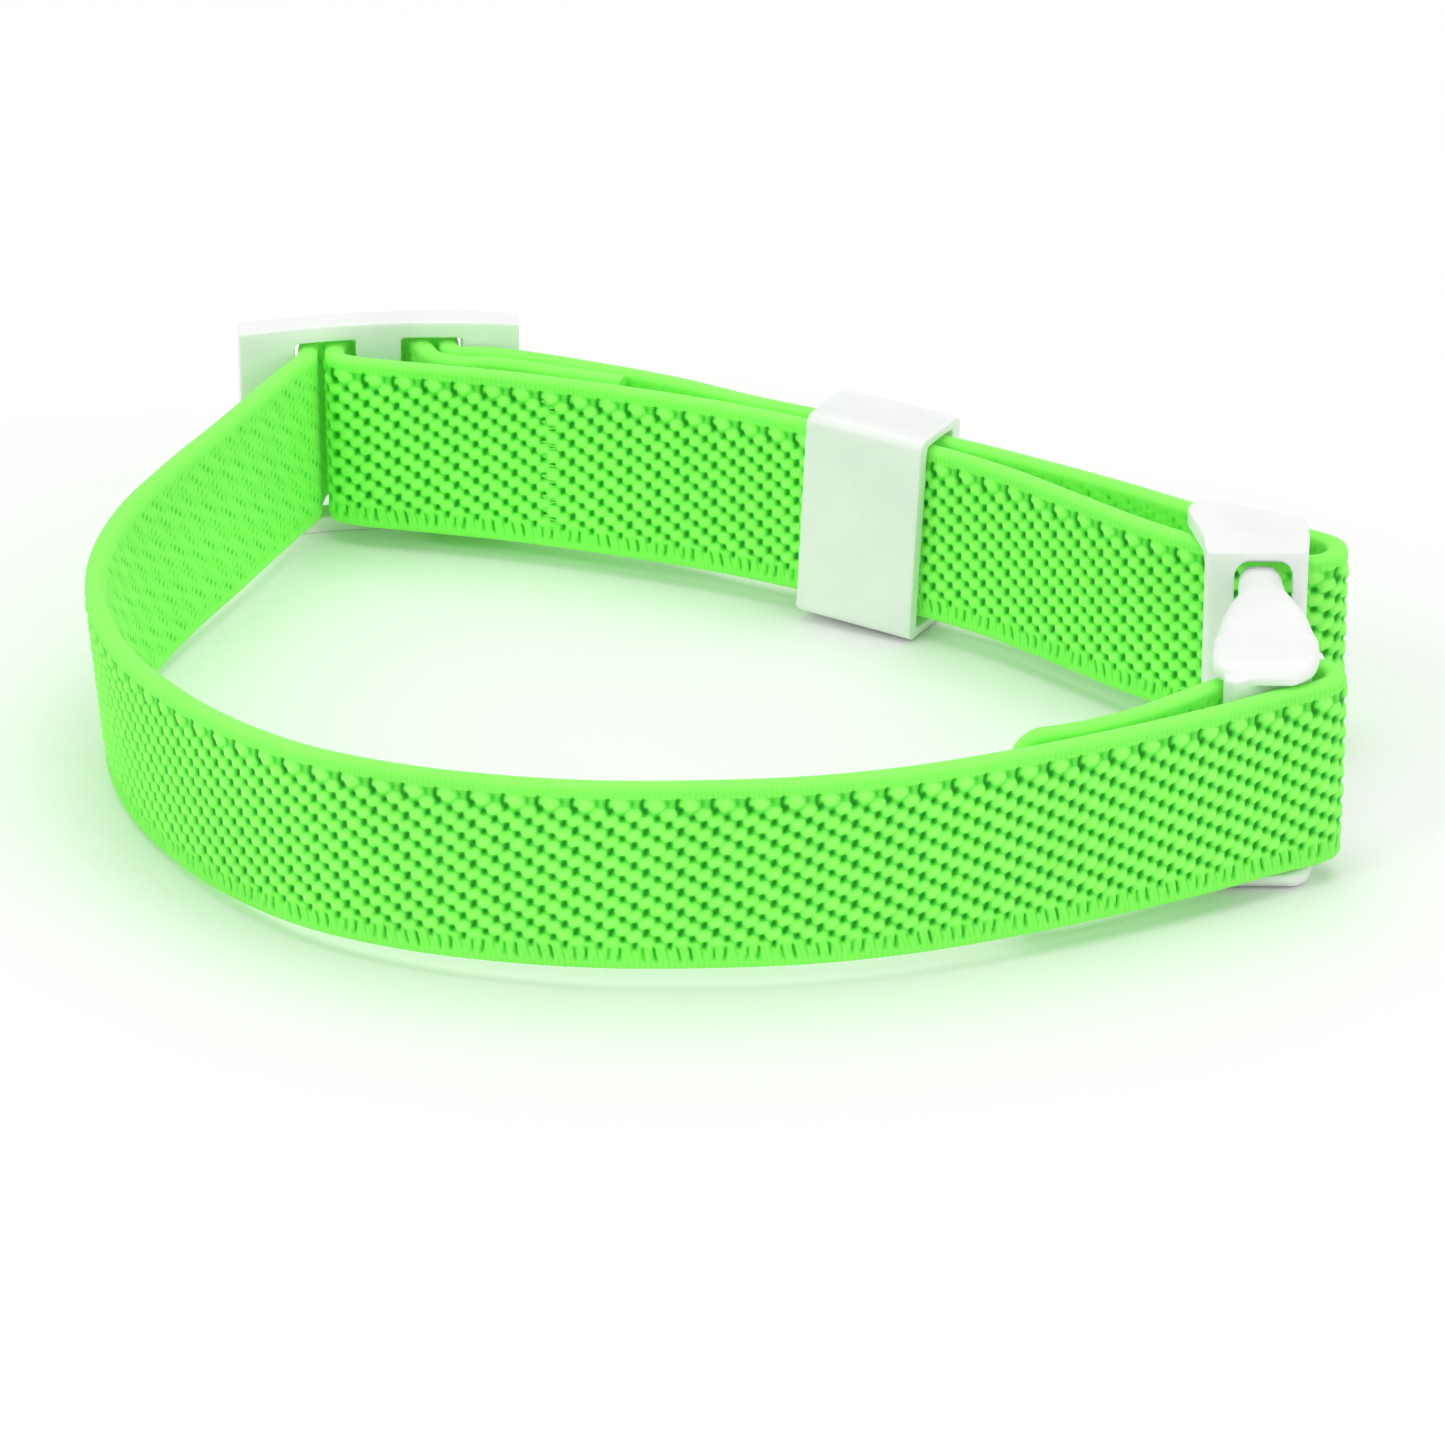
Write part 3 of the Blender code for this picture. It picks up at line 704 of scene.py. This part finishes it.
def moulded(name, adds, cuts, finish, relax):
    """One smooth moulding: shapes joined and cut, then remeshed so that every edge is slightly round."""
    body = raw(name, adds)
    tools = [raw(name + "_cut", [shape]) for shape in cuts]
    for tool in tools:
        step = body.modifiers.new("cut", "BOOLEAN")
        step.operation = "DIFFERENCE"
        step.solver = "EXACT"
        step.object = tool
    join = body.modifiers.new("join", "REMESH")
    join.mode = "VOXEL"
    join.voxel_size = VOXEL
    relaxed = body.modifiers.new("relax", "SMOOTH")
    relaxed.factor = 0.5
    relaxed.iterations = relax
    evaluated = body.evaluated_get(bpy.context.evaluated_depsgraph_get())
    mesh = bpy.data.meshes.new_from_object(evaluated)
    mesh.name = name
    body.modifiers.clear()
    body.data = mesh
    places = np.empty(len(mesh.vertices) * 3)
    mesh.vertices.foreach_get("co", places)
    mesh.vertices.foreach_set("co", in_metres(places.reshape(-1, 3)).ravel())
    mesh.materials.clear()
    mesh.materials.append(finish)
    mesh.shade_smooth()
    mesh.update()
    for tool in tools:
        bpy.data.objects.remove(tool, do_unlink=True)
    return body


def make_slider(finish):
    """A curved plate with two slots, from two rails and three bars."""
    half, thick = SLIDER_LENGTH / 2, SLIDER_THICK / 2

    def curved(start, end, low, high, count):
        rings = []
        for i in range(count + 1):
            along = start + (end - start) * i / count
            corners = ((-thick, low), (thick, low), (thick, high), (-thick, high))
            rings.append([(*at_slider(along, out), z) for out, z in corners])
        return shell(rings)

    middle = SLIDER_MIDDLE_BAR / 2
    parts = [
        curved(-half, half, 0, RAIL, RAIL_STEPS),
        curved(-half, half, HEIGHT - RAIL, HEIGHT, RAIL_STEPS),
    ]
    for start, end in ((-half, -half + SLIDER_BAR), (-middle, middle), (half - SLIDER_BAR, half)):
        parts.append(curved(start, end, RAIL / 3, HEIGHT - RAIL / 3, BAR_STEPS))
    made = moulded("slider_moulding", parts, [], finish, relax=6)
    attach(made, "slider")
    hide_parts("slider")


def make_keeper(finish):
    """A rectangular sleeve round both back layers, tilted a little as it sits."""
    half_depth, half_length = KEEPER_DEPTH / 2, KEEPER_LENGTH / 2

    def block(reach, depth, height, corner):
        rings = []
        for along in (-reach, reach):
            ring = []
            for across, up in rounded(-depth, depth, -height / 2, height / 2, corner):
                tilted = along * math.cos(KEEPER_TILT) + up * math.sin(KEEPER_TILT)
                raised = up * math.cos(KEEPER_TILT) - along * math.sin(KEEPER_TILT)
                x, y = turned(tilted, across, KEEPER_TURN, KEEPER_CENTRE)
                ring.append((x, y, WEB_LIFT + WEB_WIDTH / 2 + raised))
            rings.append(ring)
        return shell(rings)

    outer_corner, inner_corner = KEEPER_CORNERS
    opening = KEEPER_HEIGHT - 2 * KEEPER_EDGE_WALL
    outside = block(half_length, half_depth, KEEPER_HEIGHT, outer_corner)
    inside = block(half_length + 2, half_depth - KEEPER_WALL, opening, inner_corner)
    made = moulded("keeper_moulding", [outside], [inside], finish, relax=3)
    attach(made, "keeper")
    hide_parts("keeper")


def make_catch(finish):
    """The receiving half: a mouth plate, an upper and a lower rail, and the bar for the webbing."""
    left, right = CATCH_SIDES
    far_left, bulge = left - CATCH_SHOULDER, right + CATCH_BULGE
    corner_y = CATCH_MOUTH_Y + CATCH_CORNER
    near_round = (bulge - CATCH_NEAR_ROUND, CATCH_BAR_END[1] + CATCH_BULGE)
    far_round = (far_left + CATCH_FAR_ROUND + CATCH_BULGE, CATCH_FAR_Y - CATCH_FAR_ROUND)
    outline = [
        *arc((left + CATCH_CORNER, corner_y), CATCH_CORNER, 180, 270, 4),
        *arc((right - CATCH_CORNER, corner_y), CATCH_CORNER, 270, 350, 4),
        (bulge, CATCH_MOUTH_Y + CATCH_NECK),
        *arc(near_round, CATCH_NEAR_ROUND, 0, 60, 6),
        *arc(far_round, CATCH_FAR_ROUND, 80, 190, 10),
        (left, CATCH_MOUTH_Y + CATCH_NECK),
    ]
    behind, beyond = CATCH_MOUTH_Y + CATCH_PLATE, CATCH_FAR_Y + CUT_OVER
    room_left, room_right = left - CUT_OVER, right + CUT_OVER
    room_outline = [(room_left, behind), (room_right, behind), (room_right, beyond), (room_left, beyond)]
    room = prism(room_outline, RAIL, HEIGHT - RAIL)
    mouth_sides = (MOUTH_X - MOUTH_WIDTH / 2, MOUTH_X + MOUTH_WIDTH / 2)
    section = rounded(*mouth_sides, MOUTH_EDGE, HEIGHT - MOUTH_EDGE, MOUTH_CORNER, 8)
    mouth = shell([[(x, y, z) for x, z in section] for y in (CATCH_MOUTH_Y - 1, behind + 0.05)])
    shape = moulded("catch_moulding", [prism(outline, 0, HEIGHT)], [room, mouth], finish, relax=4)
    reach = (CATCH_BAR_LENGTH - CATCH_BAR_THICK) / 2 + CATCH_BAR_TUCK
    centre = turned(-reach, 0, CATCH_BAR_TURN, CATCH_BAR_END)
    bar_outline = capsule(CATCH_BAR_LENGTH, CATCH_BAR_THICK, CATCH_BAR_TURN, centre)
    bar_shape = prism(bar_outline, RAIL / 2, HEIGHT - RAIL / 2)
    bar = moulded("catch_strap_bar", [bar_shape], [], finish, relax=3)
    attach(shape, "band")
    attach(bar, "band")
    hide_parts("catch")


def plug_half(upper):
    """The shapes of the plug's upper or lower half, which meet at the mould's parting line."""
    left, right = PLUG_SIDES
    bell_y, bell_left, bell_right = zip(*PLUG_BELL)

    def side(z):
        return z if upper else HEIGHT - z

    def end_round(distance, radius):
        """0 at an end, and 1 from the radius on, along a quarter circle."""
        return math.sqrt(max(0.0, 1 - max(0.0, 1 - distance / radius) ** 2))

    rings = []
    for i in range(PLUG_STATIONS + 1):
        y = PLUG_NEAR_Y + (ARM_TIP_Y - PLUG_NEAR_Y) * i / PLUG_STATIONS
        along = smooth_step(PLUG_FAR_Y, ARM_TIP_Y, y)
        near = end_round(y - PLUG_NEAR_Y, PLUG_NEAR_ROUND)
        tip = end_round(ARM_TIP_Y - y, ARM_TIP_ROUND)
        x0, x1 = np.interp(y, bell_y, bell_left), np.interp(y, bell_y, bell_right)
        shrink = (x1 - x0) * 0.14 * (1 - near * tip)
        x0, x1 = x0 + shrink, x1 - shrink
        top = HEIGHT + (ARM_TIP_TOP - HEIGHT) * along - 0.55 * (1 - near) - 0.7 * (1 - tip)
        low = HEIGHT - (RAIL if y < PLUG_BLOCK_Y else ARM_DEEP) + 0.5 * (1 - tip)
        widest = 0.42 if y < PLUG_BLOCK_Y else 0.95
        corner = min(widest, (top - low) / 2 - 0.02, (x1 - x0) / 2 - 0.02)
        rings.append([(x, y, side(z)) for x, z in rounded(x0, x1, low, top, corner)])
    parting = MIDDLE + 0.01
    block = rounded(left, right, PLUG_BLOCK_Y, PLUG_FAR_Y, PLUG_BLOCK_CORNER)
    block_ends = sorted((side(parting), side(HEIGHT - ARM_DEEP + 0.2)))
    bar = capsule(PLUG_BAR_LENGTH, PLUG_BAR_THICK, PLUG_BAR_TURN, PLUG_BAR_CENTRE)
    bar_ends = sorted((side(parting), side(HEIGHT - RAIL / 2)))
    return [shell(rings), prism(block, *block_ends), prism(bar, *bar_ends)]


def make_plug(finish):
    """Two mirrored halves that run on into their release arms, and the guide tongue between them."""
    for name, upper in (("plug_upper_half", True), ("plug_lower_half", False)):
        made = moulded(name, plug_half(upper), [], finish, relax=5)
        arm = "upper_arm" if upper else "lower_arm"
        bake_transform(made)
        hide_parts("plug", "plug_" + arm)
    root_y = PLUG_FAR_Y - JOIN_OVER
    rings = []
    for i in range(TONGUE_STATIONS + 1):
        y = root_y + (TONGUE_TIP_Y - root_y) * i / TONGUE_STATIONS
        half = TONGUE_HALF * math.sqrt(min(1, (TONGUE_TIP_Y + 0.05 - y) / 1.2))
        section = rounded(MOUTH_X - half, MOUTH_X + half, MIDDLE - half, MIDDLE + half, 0.35 * half)
        rings.append([(x, y, z) for x, z in section])
    tongue = moulded("plug_guide_tongue", [shell(rings)], [], finish, relax=2)
    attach(tongue, "free_end")


# ---------------------------------------------------------------- sewing


def make_tack(name, line, run, distance, body, node, finish):
    """A bar tack: a dense zigzag of thread that sinks between the webbing's floats."""
    here = np.array([np.interp(distance, run, line[:, k]) for k in (0, 1)])
    ahead = np.array([np.interp(distance + TACK_HEADING, run, line[:, k]) for k in (0, 1)])
    along = (ahead - here) / np.linalg.norm(ahead - here)
    normal = np.array([-along[1], along[0]])
    low, high = WEB_LIFT + TACK_MARGIN, WEB_LIFT + WEB_WIDTH - TACK_MARGIN
    path = []
    for row in np.linspace(0, TACK_ROWS, TACK_ROWS * TACK_ROW_STEPS + 1):
        across = TACK_HALF * math.cos(math.pi * row)
        lift = WEB_THICK / 2 - TACK_SINK + TACK_BULGE * (1 - math.cos(2 * math.pi * row))
        on_plan = here + along * across + normal * lift
        path.append((*on_plan, low + (high - low) * row / TACK_ROWS))
    curve = bpy.data.curves.new(name, "CURVE")
    curve.dimensions = "3D"
    curve.bevel_depth = TACK_RADIUS * MM
    curve.bevel_resolution = 2
    curve.use_fill_caps = True
    spline = curve.splines.new("POLY")
    spline.points.add(len(path) - 1)
    for point, at in zip(spline.points, in_metres(path)):
        point.co = (*at, 1)
    made = bpy.data.objects.new(name, curve)
    bpy.context.scene.collection.objects.link(made)
    curve.materials.append(finish)
    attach(made, body)
    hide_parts(node)


# ---------------------------------------------------------------- studio


def make_studio(floor_finish):
    """The camera, a pale floor and three soft boxes in a bright room."""
    scene = bpy.context.scene
    aim = Vector(place(CAMERA_AIM))
    back = Vector((0, -math.cos(CAMERA_DROP), math.sin(CAMERA_DROP)))
    camera = bpy.data.objects.new("camera", bpy.data.cameras.new("camera"))
    scene.collection.objects.link(camera)
    camera.location = aim + back * CAMERA_DISTANCE * MM
    camera.rotation_euler = (-back).to_track_quat("-Z", "Y").to_euler()
    camera.data.sensor_width = CAMERA_SENSOR
    camera.data.lens = CAMERA_LENS
    camera.data.clip_start = 0.01
    camera.data.clip_end = 20
    scene.camera = camera

    bpy.ops.mesh.primitive_plane_add(size=6, location=(0, 0, 0))
    floor = bpy.context.object
    floor.name = "floor"
    floor.data.materials.append(floor_finish)

    world = bpy.data.worlds.new("studio")
    world.use_nodes = True
    background = world.node_tree.nodes["Background"]
    background.inputs["Color"].default_value = (1.0, 1.0, 0.99, 1)
    background.inputs["Strength"].default_value = 0.66
    scene.world = world

    def soft_box(name, where, size, power):
        light = bpy.data.lights.new(name, "AREA")
        light.shape = "RECTANGLE"
        light.size, light.size_y = size
        light.energy = power
        lamp = bpy.data.objects.new(name, light)
        scene.collection.objects.link(lamp)
        lamp.location = where
        lamp.rotation_euler = (-Vector(where)).to_track_quat("-Z", "Y").to_euler()

    soft_box("overhead", (0.05, 0.10, 0.75), (0.7, 0.6), 2.1)
    soft_box("key_left", (-0.55, -0.45, 0.5), (0.4, 0.4), 1.4)
    soft_box("fill_right", (0.6, -0.35, 0.35), (0.4, 0.4), 0.7)
    scene.view_settings.view_transform = "Standard"
    scene.view_settings.look = "None"


def main():
    webbing = webbing_material()
    white = plastic_material()
    thread = thread_material()
    line, run, starts = make_webbing(webbing)
    make_slider(white)
    make_keeper(white)
    make_catch(white)
    make_plug(white)
    at_slider_fold = starts["slider_fold"] + SLIDER_TACK_FROM_FOLD
    make_tack(
        "slider_fold_bartack", line, run, at_slider_fold, "slider", "slider_fold_tack", thread
    )
    make_tack(
        "plug_fold_bartack", line, run, PLUG_TACK_FROM_TAIL, "free_end", "plug_fold_tack", thread
    )
    make_studio(floor_material())


main()
